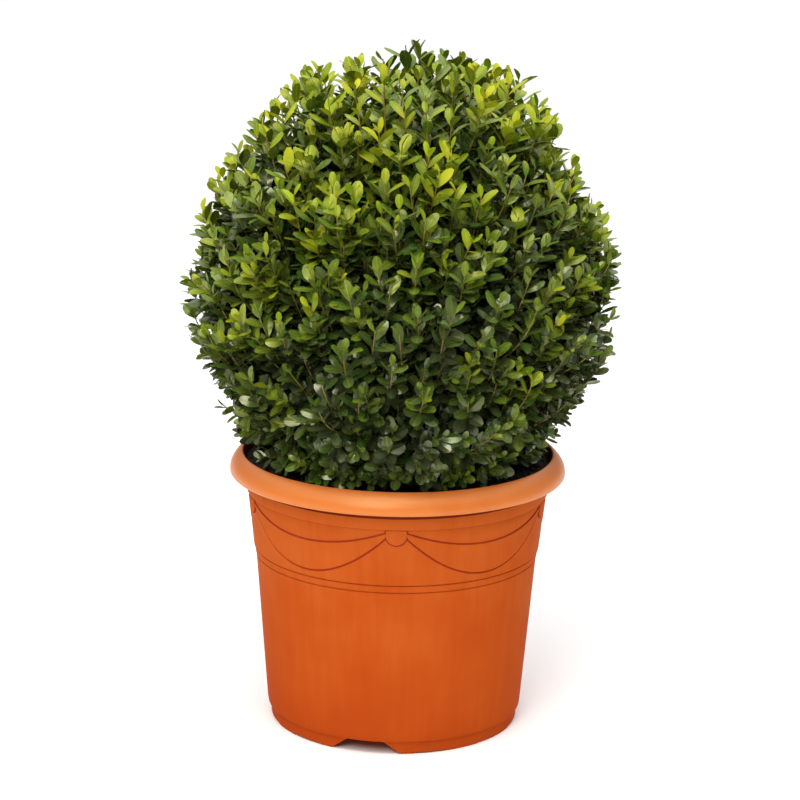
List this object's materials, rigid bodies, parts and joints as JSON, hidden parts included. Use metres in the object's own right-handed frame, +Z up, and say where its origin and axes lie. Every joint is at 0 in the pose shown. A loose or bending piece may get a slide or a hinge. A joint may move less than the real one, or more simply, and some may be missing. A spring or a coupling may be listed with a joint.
{
  "type": "potted topiary ball",
  "caption": "Clipped evergreen shrub, a dense ball of small oval leaves on short upright shoots, growing in a round tapered plastic pot with a rolled rim and moulded swags.",
  "frame": {"origin": "on the pot's axis, on the level surface that the pot stands on", "axes": "+Z up; -Y towards the front, where one boss of the moulded swags faces; +X to the right seen from the front"},
  "size_m": [0.3572, 0.3597, 0.5615],
  "materials": {
    "pot": "satin terracotta orange",
    "compost": "dark, crumbly and matt",
    "bark": "ridged tan bark",
    "leaf": "glossy dark green, lighter on young shoots",
    "new_leaf": "glossy yellow green"
  },
  "bodies": {
    "root": {"pot": "pot", "root_ball": "compost", "trunk": "bark", "leader": "bark", "bough_front": "bark", "bough_front_right": "bark", "bough_back_right": "bark", "bough_back_left": "bark", "bough_front_left": "bark", "foliage_front": "leaf", "foliage_front_right": "leaf", "foliage_back_right": "leaf", "foliage_back_left": "leaf", "foliage_front_left": "leaf", "foliage_top": "new_leaf"}
  },
  "joints": []
}
